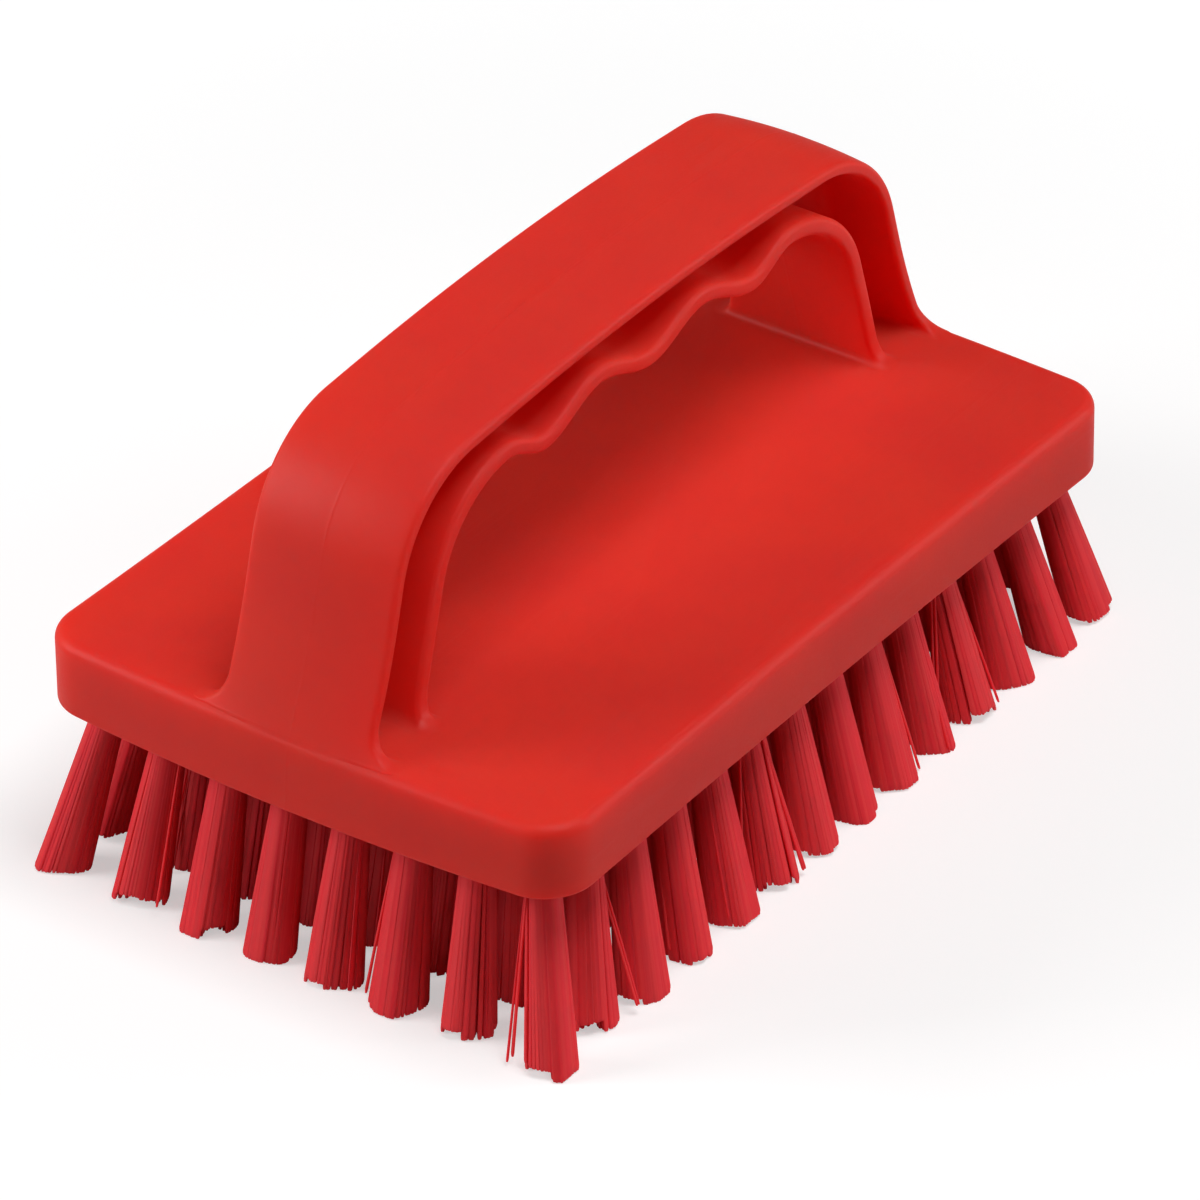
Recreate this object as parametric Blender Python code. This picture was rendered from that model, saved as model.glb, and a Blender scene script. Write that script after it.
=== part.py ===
"""Scrubbing brush with a bridge handle.

The block and the handle are one moulding. Fourteen rows of bristle tufts are
set in its underside. The origin is under the middle of the brush, on the plane
that the bristle tips stand on. X runs along the brush, Y across it, Z up.
All sizes are in metres.
"""

import math

import bmesh
import bpy
import numpy as np
from mathutils import Matrix, Vector

# Block
BLOCK_LENGTH = 0.1512
BLOCK_WIDTH = 0.0995
BLOCK_THICKNESS = 0.0126
CORNER_RADIUS = 0.0080
TOP_EDGE_RADIUS = 0.0020
BOTTOM_EDGE_RADIUS = 0.0005
# How far the end faces bulge at mid width, at the upper and the lower edge
END_BOW_TOP = 0.0014
END_BOW_BOTTOM = 0.0026
# How far the long sides draw in at mid length
SIDE_WAIST = 0.0008

# Handle, with heights measured from the top of the block
HANDLE_WIDTH = 0.0274
HANDLE_HEIGHT = 0.0452
# How far the outer face of a leg stands back from the nominal end of the block
LEG_SETBACK = 0.0007
LEG_DEPTH = 0.0145
LEG_LEAN = math.radians(16.0)
CROWN_RADIUS = 0.5800
SHOULDER_RADIUS = 0.0225
FOOT_DEPTH = 0.0025
# How far and from what height the outer face curves out to the end of the block
TOE_SPREAD = 0.0016
TOE_HEIGHT = 0.0050
# How far the outer strap's edges spread at the foot, and the inner strap's share of that
FLARE_RADIUS = 0.0050
INNER_FLARE = 0.5
OUTER_STRAP = 0.0030
INNER_STRAP = 0.0030
WEB_THICKNESS = 0.0030
WEB_FILLET = 0.0010

# Opening for the hand, between the legs and under the grip
# Depth of the grip at its thinnest, in the hollows for the fingers
GRIP_DEPTH = 0.0103
GAP_SHOULDER_RADIUS = 0.0185
FINGER_PITCH = 0.0275
FINGER_DEPTH = 0.0038

# Tufts, each of four strands in a square
ROWS = 14
TUFTS_PER_ROW = 8
# From the nominal ends and sides of the block to the middles of the outer tufts
END_MARGIN = 0.0076
SIDE_MARGIN = 0.0092
BRISTLE_TRIM = 0.0305
TIP_CUT = 0.0005
TIP_UNEVENNESS = 0.0026
# How far the tips of the outer tufts lean out, and how late towards the rim that starts
END_SPLAY = 0.0072
SIDE_SPLAY = 0.0061
END_SPLAY_POWER = 1.5
SIDE_SPLAY_POWER = 3.0
STRAND_ROOT_WIDTH = 0.0021
STRAND_TIP_WIDTH = 0.0027
STRAND_ROOT_SPACING = 0.0025
STRAND_TIP_SPACING = 0.0038
MOST_TWIST = math.radians(18.0)

# Slices of backing, and the anchors that hold the tufts
SLICE_DEPTH = 0.0062
SLICE_MARGIN = 0.0040
ANCHOR_WIDTH = 0.0034
ANCHOR_THICKNESS = 0.0005
ANCHOR_HEIGHT = 0.0014

CLEARANCE = 0.0003
OVERRUN = 0.0010

# Edges that turn by more than this stay sharp when the rest is shaded smooth
CREASE_ANGLE = math.radians(35.0)

# How finely curves are stepped
CORNER_STEPS = 7
SIDE_STEPS = 8
TOP_EDGE_STEPS = 3
STRAP_EDGE_STEPS = 4
FLARE_STEPS = 4
SHOULDER_STEPS = 9
FINGER_STEPS = 6
ARC_STEPS = 64

# Share of a turn between one tuft and the next, which never repeats
GOLDEN_SHARE = 0.61803398875

BLOCK_BOTTOM = BRISTLE_TRIM
BLOCK_TOP = BLOCK_BOTTOM + BLOCK_THICKNESS
LEG_SPAN = BLOCK_LENGTH - 2 * LEG_SETBACK
GAP_SPAN = LEG_SPAN - 2 * LEG_DEPTH
CROWN_CENTRE = HANDLE_HEIGHT - CROWN_RADIUS
GRIP_RADIUS = CROWN_RADIUS - GRIP_DEPTH
ROW_PITCH = (BLOCK_LENGTH - 2 * END_MARGIN) / (ROWS - 1)
TUFT_PITCH = (BLOCK_WIDTH - 2 * SIDE_MARGIN) / (TUFTS_PER_ROW - 1)
SLICE_WIDTH = BLOCK_WIDTH - 2 * SIDE_MARGIN + 2 * SLICE_MARGIN

MOULDING_RED = (0.68, 0.028, 0.030)
BRISTLE_RED = (0.62, 0.012, 0.020)


def clear_scene():
    for old in list(bpy.data.objects):
        bpy.data.objects.remove(old, do_unlink=True)


def new_collection(name):
    made = bpy.data.collections.new(name)
    bpy.context.scene.collection.children.link(made)
    return made


def plastic(name, colour, roughness):
    material = bpy.data.materials.new(name)
    material.use_nodes = True
    shader = material.node_tree.nodes["Principled BSDF"]
    shader.inputs["Base Color"].default_value = (*colour, 1.0)
    shader.inputs["Roughness"].default_value = roughness
    shader.inputs["Metallic"].default_value = 0.0
    material.diffuse_color = (*colour, 1.0)
    return material


def add_object(name, bm, collection, material=None):
    """Turn a bmesh into an object. Without a material it is a helper and stays out of renders."""
    bmesh.ops.recalc_face_normals(bm, faces=bm.faces)
    for face in bm.faces:
        face.smooth = True
    mesh = bpy.data.meshes.new(name)
    bm.to_mesh(mesh)
    bm.free()
    mesh.set_sharp_from_angle(angle=CREASE_ANGLE)
    made = bpy.data.objects.new(name, mesh)
    collection.objects.link(made)
    if material:
        mesh.materials.append(material)
    else:
        made.hide_render = True
        made.display_type = "WIRE"
    return made


def combine(target, other, operation):
    modifier = target.modifiers.new(other.name, "BOOLEAN")
    modifier.operation = operation
    modifier.object = other
    modifier.solver = "EXACT"


def loft(sections):
    """Skin closed rings that all have the same number of points, and cap both ends."""
    bm = bmesh.new()
    rings = [[bm.verts.new(point) for point in ring] for ring in sections]
    for low, high in zip(rings, rings[1:]):
        for i, first in enumerate(low):
            j = (i + 1) % len(low)
            bm.faces.new((first, low[j], high[j], high[i]))
    bm.faces.new(rings[0])
    bm.faces.new(rings[-1])
    return bm


def box(bm, centre, size):
    length, width, height = size
    stretch = Matrix.Diagonal((1.0, width / length, height / length, 1.0))
    bmesh.ops.create_cube(bm, size=length, matrix=Matrix.Translation(centre) @ stretch)


def arc(centre, radius, start, end, steps):
    """Points of a circular arc, both ends included."""
    angles = np.linspace(start, end, steps + 1)
    return np.array(centre) + radius * np.column_stack([np.cos(angles), np.sin(angles)])


def resample(points, steps):
    """Spread steps + 1 points evenly along a polyline."""
    lengths = np.linalg.norm(np.diff(points, axis=0), axis=1)
    travel = np.concatenate([[0.0], np.cumsum(lengths)])
    wanted = np.linspace(0.0, travel[-1], steps + 1)
    return np.column_stack([np.interp(wanted, travel, column) for column in points.T])


# The block


def block_outline(inset, end_bow):
    """The block from above: a rounded rectangle with bowed ends and waisted sides."""
    half = np.array([BLOCK_LENGTH, BLOCK_WIDTH]) / 2 - inset
    radius = CORNER_RADIUS - inset
    corners = []
    for quarter, sides in enumerate([(1, 1), (-1, 1), (-1, -1), (1, -1)]):
        start = quarter * math.pi / 2
        corners.append(arc(sides * (half - radius), radius, start, start + math.pi / 2, CORNER_STEPS))
    points = []
    for corner, following in zip(corners, corners[1:] + corners[:1]):
        edge = resample(np.array([corner[-1], following[0]]), SIDE_STEPS)
        points.extend([*corner, *edge[1:-1]])
    across, along = np.array(points).T / half[:, None]
    bowed = half[0] * across + end_bow * across * (1 - along**2)
    waisted = half[1] * along - SIDE_WAIST * along * (1 - across**2)
    return np.column_stack([bowed, waisted])


def block_sections():
    """Outlines from the underside, past its small rounding, to the rounded upper edge."""
    levels = [(0.0, BOTTOM_EDGE_RADIUS), (BOTTOM_EDGE_RADIUS, 0.0)]
    rounding = arc(
        (TOP_EDGE_RADIUS, BLOCK_THICKNESS - TOP_EDGE_RADIUS),
        TOP_EDGE_RADIUS,
        math.pi,
        math.pi / 2,
        TOP_EDGE_STEPS,
    )
    levels += [(height, inset) for inset, height in rounding]
    sections = []
    for height, inset in levels:
        bow = END_BOW_BOTTOM + (END_BOW_TOP - END_BOW_BOTTOM) * height / BLOCK_THICKNESS
        outline = block_outline(inset, bow)
        sections.append(np.column_stack([outline, np.full(len(outline), BLOCK_BOTTOM + height)]))
    return sections


# The handle, drawn as its outer face and as the edge of the hand opening


def leg_face(span, height):
    """Where the face of a leaning leg stands at a height above the block."""
    return span / 2 - height * math.tan(LEG_LEAN)


def arch_height(radius, x):
    """Height of the crown, or of an arc round the same centre."""
    return CROWN_CENTRE + np.sqrt(radius**2 - x**2)


def shoulder_centre(span, radius, arch_radius):
    """Centre of the arc that touches both a leaning leg's face and the arch."""
    inward = np.array([-math.cos(LEG_LEAN), -math.sin(LEG_LEAN)])
    upward = np.array([-math.sin(LEG_LEAN), math.cos(LEG_LEAN)])
    start = np.array([span / 2, -CROWN_CENTRE]) + inward * radius
    middle = start @ upward
    travel = -middle + math.sqrt(middle**2 - start @ start + (arch_radius - radius) ** 2)
    return start + upward * travel + np.array([0.0, CROWN_CENTRE])


def shoulder_arc(centre, radius):
    """From the leg's face to where the arch takes over."""
    return arc(centre, radius, LEG_LEAN, math.atan2(centre[1] - CROWN_CENTRE, centre[0]), ARC_STEPS)


def grip_height(x, last_hollow):
    """Underside of the grip: a crest at the middle and at each pitch, a hollow between."""
    beyond = np.clip((x - FINGER_PITCH) / (last_hollow - FINGER_PITCH), 0, 1)
    phase = 2 * math.pi * np.minimum(x, FINGER_PITCH) / FINGER_PITCH + math.pi * beyond
    return arch_height(GRIP_RADIUS, x) - FINGER_DEPTH * (1 + np.cos(phase)) / 2


def toe(height):
    """How far a leg's outer face curves out at a height, towards the end of the block."""
    return TOE_SPREAD * np.clip(1 - height / TOE_HEIGHT, 0, 1) ** 2


def flare(height):
    """How far the strap edges spread at a height, where they run out onto the block."""
    rise = np.clip(1 - np.maximum(height, 0.0) / FLARE_RADIUS, 0, 1)
    return FLARE_RADIUS * (1 - np.sqrt(1 - rise**2))


def leg_points(span, shoulder_start):
    """From the foot, past the closer steps of the flare, to halfway up the leg."""
    angles = np.linspace(0, math.pi / 2, FLARE_STEPS + 1)
    heights = np.array([-FOOT_DEPTH, *(FLARE_RADIUS * (1 - np.cos(angles)))])
    heights = np.append(heights, (FLARE_RADIUS + shoulder_start) / 2)
    return np.column_stack([leg_face(span, heights), heights])


def handle_paths():
    """Matching points of the outer face and of the opening's edge, from the right foot to the middle."""
    outer_centre = shoulder_centre(LEG_SPAN, SHOULDER_RADIUS, CROWN_RADIUS)
    gap_centre = shoulder_centre(GAP_SPAN, GAP_SHOULDER_RADIUS, GRIP_RADIUS)
    outer_arc = shoulder_arc(outer_centre, SHOULDER_RADIUS)
    gap_arc = shoulder_arc(gap_centre, GAP_SHOULDER_RADIUS)
    last_hollow = gap_arc[-1, 0]

    crown_x = np.linspace(outer_arc[-1, 0], last_hollow, ARC_STEPS)[1:]
    crown_end = np.column_stack([crown_x, arch_height(CROWN_RADIUS, crown_x)])
    outer_turn = resample(np.vstack([outer_arc, crown_end]), SHOULDER_STEPS)
    gap_turn = resample(gap_arc, SHOULDER_STEPS)

    extremes = [last_hollow, FINGER_PITCH, FINGER_PITCH / 2, 0.0]
    spans = [np.linspace(a, b, FINGER_STEPS + 1)[1:] for a, b in zip(extremes, extremes[1:])]
    x = np.concatenate(spans)
    outer_top = np.column_stack([x, arch_height(CROWN_RADIUS, x)])
    gap_top = np.column_stack([x, grip_height(x, last_hollow)])
    outer = np.vstack([leg_points(LEG_SPAN, outer_arc[0, 1]), outer_turn, outer_top])
    gap = np.vstack([leg_points(GAP_SPAN, gap_arc[0, 1]), gap_turn, gap_top])
    outer[:, 0] += toe(np.maximum(outer[:, 1], 0.0))
    return outer, gap


def handle_section(depth):
    """H section: (way in from the outer face, distance from the middle plane, share of the flare)."""
    half = HANDLE_WIDTH / 2
    outer_edge = OUTER_STRAP / 2
    inner_edge = INNER_STRAP / 2
    web = WEB_THICKNESS / 2
    outer = arc((outer_edge, half - outer_edge), outer_edge, math.pi, 0.0, STRAP_EDGE_STEPS)
    inner = arc((depth - inner_edge, half - inner_edge), inner_edge, math.pi, 0.0, STRAP_EDGE_STEPS)
    valley = [
        (OUTER_STRAP, web + WEB_FILLET),
        (OUTER_STRAP + WEB_FILLET, web),
        (depth - INNER_STRAP - WEB_FILLET, web),
        (depth - INNER_STRAP, web + WEB_FILLET),
    ]
    side = [(*p, 1) for p in outer] + [(*p, 0) for p in valley] + [(*p, INNER_FLARE) for p in inner]
    return side + [(way, -y, -share) for way, y, share in reversed(side)]


def handle_sections():
    outer, gap = handle_paths()
    mirror = np.array([-1, 1])
    outer = np.vstack([outer, (outer * mirror)[-2::-1]])
    gap = np.vstack([gap, (gap * mirror)[-2::-1]])
    sections = []
    for start, end in zip(outer, gap):
        depth = np.linalg.norm(end - start)
        ring = []
        for way, y, share in handle_section(depth):
            x, height = start + (end - start) * way / depth
            ring.append((x, y + share * flare(height), BLOCK_TOP + height))
        sections.append(ring)
    return sections


# The bristles


def row_x(row):
    return (row - (ROWS - 1) / 2) * ROW_PITCH


def tuft_y(tuft):
    return (tuft - (TUFTS_PER_ROW - 1) / 2) * TUFT_PITCH


def pocket_size():
    """The recess under the block that all the slices of backing fill."""
    depth = SLICE_DEPTH + ANCHOR_HEIGHT + CLEARANCE
    return ROWS * ROW_PITCH + CLEARANCE, SLICE_WIDTH + 2 * CLEARANCE, depth


def splayed(place):
    """Where a tuft's tip is: the outer tufts lean outwards, most of all at the rim."""
    outward = place / np.array([row_x(ROWS - 1), tuft_y(TUFTS_PER_ROW - 1)])
    lean = np.abs(outward) ** np.array([END_SPLAY_POWER, SIDE_SPLAY_POWER])
    return place + np.sign(outward) * lean * np.array([END_SPLAY, SIDE_SPLAY])


def add_strand(bm, root, full_tip, natural_end, turn):
    """A four-sided tapered strand that leans, from inside its slice to its level cut tip."""
    reach = min(1.0, 1 - natural_end / BRISTLE_TRIM)
    tip = root + (full_tip - root) * reach
    tip_width = STRAND_ROOT_WIDTH + (STRAND_TIP_WIDTH - STRAND_ROOT_WIDTH) * reach
    low = Vector((*tip, BLOCK_BOTTOM - BRISTLE_TRIM * reach))
    high = Vector((*root, BLOCK_BOTTOM))
    high = high + (high - low) * (OVERRUN / BRISTLE_TRIM)
    depth = high.z - low.z
    lean = Matrix.Rotation(turn + math.pi / 4, 4, "Z")
    lean.col[2] = (*((high - low) / depth), 0.0)
    lean.col[3] = (*((high + low) / 2), 1.0)
    bmesh.ops.create_cone(
        bm,
        cap_ends=True,
        segments=4,
        radius1=tip_width / math.sqrt(2),
        radius2=STRAND_ROOT_WIDTH / math.sqrt(2),
        depth=depth,
        matrix=lean,
    )


def add_tuft(bm, place, number):
    """Four strands side by side at the root that spread towards their tips."""
    tip_place = splayed(place)
    turn = MOST_TWIST * (2 * (number * GOLDEN_SHARE % 1) - 1)
    for k in range(4):
        angle = turn + math.pi / 4 + k * math.pi / 2
        way = np.array([math.cos(angle), math.sin(angle)]) / math.sqrt(2)
        unevenness = TIP_UNEVENNESS * ((4 * number + k) * GOLDEN_SHARE % 1)
        root = place + way * STRAND_ROOT_SPACING
        tip = tip_place + way * STRAND_TIP_SPACING
        add_strand(bm, root, tip, unevenness - TIP_CUT, turn)


def add_bristle_row(row, parts, helpers, material):
    """A slice of the backing with its tufts below and the tufts' anchors above."""
    name = f"bristle_row_{row + 1:02d}"
    x = row_x(row)
    backing = bmesh.new()
    size = (ROW_PITCH - CLEARANCE, SLICE_WIDTH, SLICE_DEPTH)
    box(backing, (x, 0.0, BLOCK_BOTTOM + SLICE_DEPTH / 2), size)
    made = add_object(name, backing, parts, material)

    strands = bmesh.new()
    anchors = bmesh.new()
    anchor_size = (ANCHOR_THICKNESS, ANCHOR_WIDTH, ANCHOR_HEIGHT + OVERRUN)
    anchor_z = BLOCK_BOTTOM + SLICE_DEPTH + (ANCHOR_HEIGHT - OVERRUN) / 2
    for tuft in range(TUFTS_PER_ROW):
        place = np.array([x, tuft_y(tuft)])
        add_tuft(strands, place, row * TUFTS_PER_ROW + tuft)
        box(anchors, (*place, anchor_z), anchor_size)
    combine(made, add_object(name + "_strands", strands, helpers), "UNION")
    combine(made, add_object(name + "_anchors", anchors, helpers), "UNION")


def add_brush_body(parts, helpers, material):
    body = add_object("brush_body", loft(block_sections()), parts, material)
    handle = add_object("handle_form", loft(handle_sections()), helpers)
    combine(body, handle, "UNION")
    pocket = bmesh.new()
    length, width, depth = pocket_size()
    middle = BLOCK_BOTTOM + (depth - OVERRUN) / 2
    box(pocket, (0.0, 0.0, middle), (length, width, depth + OVERRUN))
    combine(body, add_object("backing_pocket", pocket, helpers), "DIFFERENCE")


def main():
    clear_scene()
    parts = new_collection("hand_brush")
    helpers = new_collection("helpers")
    add_brush_body(parts, helpers, plastic("moulded_red_plastic", MOULDING_RED, 0.42))
    bristle = plastic("red_bristle", BRISTLE_RED, 0.38)
    for row in range(ROWS):
        add_bristle_row(row, parts, helpers, bristle)


main()
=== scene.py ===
"""Looks of a red scrubbing brush: one satin moulding with a bridge handle, and 112 bristle tufts.

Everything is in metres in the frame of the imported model: X along the brush, Y across it,
Z up from the plane that the bristle tips stand on.
"""

import math

import bpy
import numpy as np
from mathutils import Matrix, Vector


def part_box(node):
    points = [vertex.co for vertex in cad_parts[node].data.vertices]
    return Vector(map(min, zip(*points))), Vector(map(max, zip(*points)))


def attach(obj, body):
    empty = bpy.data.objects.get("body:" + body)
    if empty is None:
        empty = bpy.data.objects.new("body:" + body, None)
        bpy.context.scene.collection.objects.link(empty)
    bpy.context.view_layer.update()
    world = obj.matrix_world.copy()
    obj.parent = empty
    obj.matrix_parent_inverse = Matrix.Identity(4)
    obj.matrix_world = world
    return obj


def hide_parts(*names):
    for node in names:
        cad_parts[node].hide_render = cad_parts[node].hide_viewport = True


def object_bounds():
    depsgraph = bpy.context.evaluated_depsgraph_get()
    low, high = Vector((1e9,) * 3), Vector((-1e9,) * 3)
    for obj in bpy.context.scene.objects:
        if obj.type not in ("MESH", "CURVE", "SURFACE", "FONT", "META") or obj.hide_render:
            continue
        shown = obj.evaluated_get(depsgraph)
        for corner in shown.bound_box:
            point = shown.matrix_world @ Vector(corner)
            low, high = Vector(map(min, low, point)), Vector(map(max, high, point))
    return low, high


MM = 0.001
QUARTER_TURN = math.pi / 2
FULL_TURN = 2 * math.pi
# The least length that anything is divided by
SMALLEST = 1e-12
SEED = 11

# Block
BLOCK_LENGTH = 151.2 * MM
BLOCK_WIDTH = 99.5 * MM
BLOCK_THICKNESS = 12.6 * MM
CORNER_RADIUS = 8.0 * MM
TOP_EDGE_RADIUS = 2.0 * MM
BOTTOM_EDGE_RADIUS = 0.5 * MM
END_BOW_TOP = 1.4 * MM
END_BOW_BOTTOM = 2.6 * MM
SIDE_WAIST = 0.8 * MM
# Share of the half length beyond which a point of the outline is on an end face
END_SHARE = 0.9

# Handle, with heights measured from the top of the block
HANDLE_WIDTH = 27.4 * MM
HANDLE_HEIGHT = 45.2 * MM
LEG_SETBACK = 0.7 * MM
LEG_DEPTH = 14.5 * MM
LEG_LEAN = math.radians(16.0)
CROWN_RADIUS = 580.0 * MM
SHOULDER_RADIUS = 22.5 * MM
FOOT_DEPTH = 2.5 * MM
TOE_SPREAD = 1.55 * MM
TOE_HEIGHT = 20.0 * MM
FLARE_RADIUS = 5.0 * MM
INNER_FLARE = 0.5
FOOT_FILLET = 1.5 * MM
# How far under the block's face the fillets end, so that no point lies just on it
SINK = 0.02 * MM
OUTER_STRAP = 3.0 * MM
INNER_STRAP = 3.0 * MM
STRAP_EDGE_RADIUS = 0.95 * MM
WEB_THICKNESS = 3.0 * MM
WEB_FILLET = 1.6 * MM
GRIP_DEPTH = 10.3 * MM
GAP_SHOULDER_RADIUS = 18.5 * MM
FINGER_PITCH = 27.5 * MM
FINGER_DEPTH = 3.8 * MM

# The line where the halves of the mould met, and how much the broad faces are crowned
PARTING_HEIGHT = 0.02 * MM
PARTING_WIDTH = 0.5 * MM
FACE_CROWN = 0.8 * MM

# Tufts
ROWS = 14
TUFTS_PER_ROW = 8
PER_TUFT = (TUFTS_PER_ROW, 1)
END_MARGIN = 7.6 * MM
SIDE_MARGIN = 9.2 * MM
END_SPLAY = 7.2 * MM
SIDE_SPLAY = 6.1 * MM
END_SPLAY_POWER = 1.5
SIDE_SPLAY_POWER = 3.0
HOLE_RADIUS = 2.6 * MM
HOLE_DEPTH = 3.2 * MM
HOLE_CHAMFER = 0.35 * MM
# Share of a hole's depth at which the fold of its tuft lies
FOLD_DEPTH = 0.9
# Filaments in a tuft, from the middle one to the outer ring
BUNDLE = (1, 8, 18, 34, 58)
ROOT_GIRTH = 0.24 * MM
TIP_GIRTH = 0.38 * MM
STRAY_GIRTH = 0.65
TUFT_ROOT_RADIUS = 2.6 * MM
TUFT_TIP_RADIUS = 4.2 * MM
TUFT_OFFSET = 0.3 * MM
TUFT_UNEVENNESS = 0.3 * MM
FILAMENT_UNEVENNESS = 0.10 * MM
FILAMENT_BOW = 0.05 * MM
ANGLE_UNEVENNESS = 0.03
# How far out a tuft's filaments reach at the tips, as shares of its radius there
TUFT_REACH = (0.88, 1.04)
REACH_UNEVENNESS = 0.006
MOST_REACH = 1.08
# Lobes of a tuft: from 4 to 7 of them, how they gather filaments, and how their lengths differ
LOBES = (4, 8)
LOBE_GATHER = 0.30
LOBE_GATHER_SHARE = (0.2, 1.0)
LOBE_REACH_SPREAD = 0.035
LOBE_STEP = 2.0 * MM
LOBE_STEP_POWER = 6
# Filaments that left their place one by one
STRAY_SHARE = 0.02
STRAY_REACH = 1.6 * MM
STRAY_ALONG = (-0.3, 1.3)
STRAY_ASIDE = 0.9
# Where the wire that holds each fold lies, and how much wider a fan is along it than across it
FAN_TURN = math.radians(-52.0)
FAN_TURN_SPREAD = 0.35
FAN_LENGTH = 1.08
FAN_WIDTH = (0.62, 0.86)
FAN_SQUARENESS = 3.0
# Filaments that left their tuft together
RUNAWAY_SHARE = 0.3
RUNAWAY_ARC = 0.13
RUNAWAY_REACH = (2.5 * MM, 6.5 * MM)
RUNAWAY_OUTWARD = 0.8 * MM
# How far a filament's shading follows its tuft's round surface instead of its own, from how far
# round its back on, and how much it is tilted up, as fibres catch the light
BUNDLE_SHADING = 0.9
BUNDLE_BACK = 0.3
BUNDLE_TILT = math.radians(20.0)
# Where along a filament its rings lie, and how wide they are
FILAMENT_STATIONS = np.array([0.0, 0.35, 0.7, 0.985, 1.0])
FILAMENT_TAPER = np.array([1.0, 1.0, 1.0, 1.0, 0.75])

# How finely curves are stepped
CORNER_STEPS = 16
EDGE_STEPS = 24
ROUNDING_STEPS = 8
FLARE_STEPS = 14
# The foot's fillet takes every second step of the flare
FILLET_STRIDE = 2
LEG_STEPS = 10
SHOULDER_STEPS = 26
FINGER_STEPS = 18
ARC_STEPS = 128
STRAP_EDGE_STEPS = 12
FILLET_STEPS = 4
HOLE_STEPS = 20
FILAMENT_SIDES = 6
CREASE_ANGLE = math.radians(30.0)
# A face is level where its normal's part along Z, up or down, is over this
LEVEL = 0.99999

# Plastics
PLASTIC_RED = (0.70, 0.033, 0.020, 1)
PLASTIC_SHADE = (0.66, 0.029, 0.021, 1)
PLASTIC_SPECULAR = 0.16
SCATTER_RADIUS = (1.0, 0.08, 0.06)
SCATTER_SCALE = 12.0 * MM
BRISTLE_RED = (0.99, 0.085, 0.095, 1)
BRISTLE_SHADE = (0.95, 0.055, 0.078, 1)
BRISTLE_SPECULAR = 0.3
THROUGH_RED = (0.99, 0.006, 0.022, 1)
THROUGH_SHARE = 0.45
# Scratches on the moulding, each set as its turn and how far it is drawn out
SCRATCHES = (((0.2, 0.1, 0.5), (18.0, 900.0, 300.0)), ((0.1, -0.3, -0.9), (26.0, 1100.0, 420.0)))

# Camera, as fitted to the edges of the block
CAMERA_AZIMUTH = math.radians(-54.19)
CAMERA_ELEVATION = math.radians(33.62)
CAMERA_ROLL = math.radians(-0.82)
CAMERA_TARGET = (-15.9 * MM, -14.3 * MM, 40.0 * MM)
CAMERA_DISTANCE = 1378.0 * MM
FRAME_PIXELS = 1200
FOCAL_PIXELS = 8929
SENSOR_WIDTH = 36.0

# Studio: each softbox has its place, the length of its side, and its watts
SOFTBOXES = {
    "overhead": ((0.0, -0.25, 0.90), 0.42, 5.1),
    "back_left": ((-0.48, 0.61, 0.42), 0.40, 4.6),
    "right": ((0.60, -0.65, 0.35), 0.50, 3.0),
}
LIT_POINT = (0.0, 0.0, 0.04)
WORLD_LIGHT = 0.04
FLOOR_HALF = 1.5
FLOOR_TO_LIGHT = 0.60
FLOOR_TO_CAMERA = 0.55
# The floor's own white to the camera, by the distance from the brush
GLOW_DISTANCE = (0.15, 0.60)
GLOW = (0.50, 1.0)

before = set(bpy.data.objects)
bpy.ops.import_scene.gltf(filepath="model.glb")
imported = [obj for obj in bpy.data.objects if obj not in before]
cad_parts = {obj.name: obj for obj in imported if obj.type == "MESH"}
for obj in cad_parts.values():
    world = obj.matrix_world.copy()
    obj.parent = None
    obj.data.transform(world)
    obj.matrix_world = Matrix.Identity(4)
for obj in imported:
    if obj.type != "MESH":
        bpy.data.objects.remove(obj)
cad_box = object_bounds()
BLOCK_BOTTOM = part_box("brush_body")[0][2]
BLOCK_TOP = BLOCK_BOTTOM + BLOCK_THICKNESS
LEG_SPAN = BLOCK_LENGTH - 2 * LEG_SETBACK
GAP_SPAN = LEG_SPAN - 2 * LEG_DEPTH
CROWN_CENTRE = HANDLE_HEIGHT - CROWN_RADIUS
GRIP_RADIUS = CROWN_RADIUS - GRIP_DEPTH
ROW_PITCH = (BLOCK_LENGTH - 2 * END_MARGIN) / (ROWS - 1)
TUFT_PITCH = (BLOCK_WIDTH - 2 * SIDE_MARGIN) / (TUFTS_PER_ROW - 1)


# Meshes


def add_mesh(name, points, faces, tones=None):
    """An object at the origin from points and lists of faces, shaded smooth. Tones are values by point."""
    mesh = bpy.data.meshes.new(name)
    mesh.from_pydata(points.tolist(), [], faces)
    mesh.shade_smooth()
    for label, values in (tones or {}).items():
        mesh.attributes.new(label, "FLOAT", "POINT").data.foreach_set("value", values)
    made = bpy.data.objects.new(name, mesh)
    bpy.context.scene.collection.objects.link(made)
    return made


def tube_faces(count, rings, sides):
    """Faces of tubes laid out as [tube, ring, side]: a quad between neighbours, and both end caps."""
    index = np.arange(count * rings * sides).reshape(count, rings, sides)
    onward = np.roll(index, -1, axis=2)
    walls = np.stack([index[:, :-1], onward[:, :-1], onward[:, 1:], index[:, 1:]], axis=-1)
    caps = np.concatenate([index[:, 0, ::-1], index[:, -1]])
    return walls.reshape(-1, 4).tolist() + caps.tolist()


def arc(centre, radius, start, end, steps):
    """Points of a circular arc: centre + radius (cos angle, sin angle), both ends included."""
    angles = np.linspace(start, end, steps + 1)
    return np.array(centre) + radius * np.column_stack([np.cos(angles), np.sin(angles)])


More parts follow.
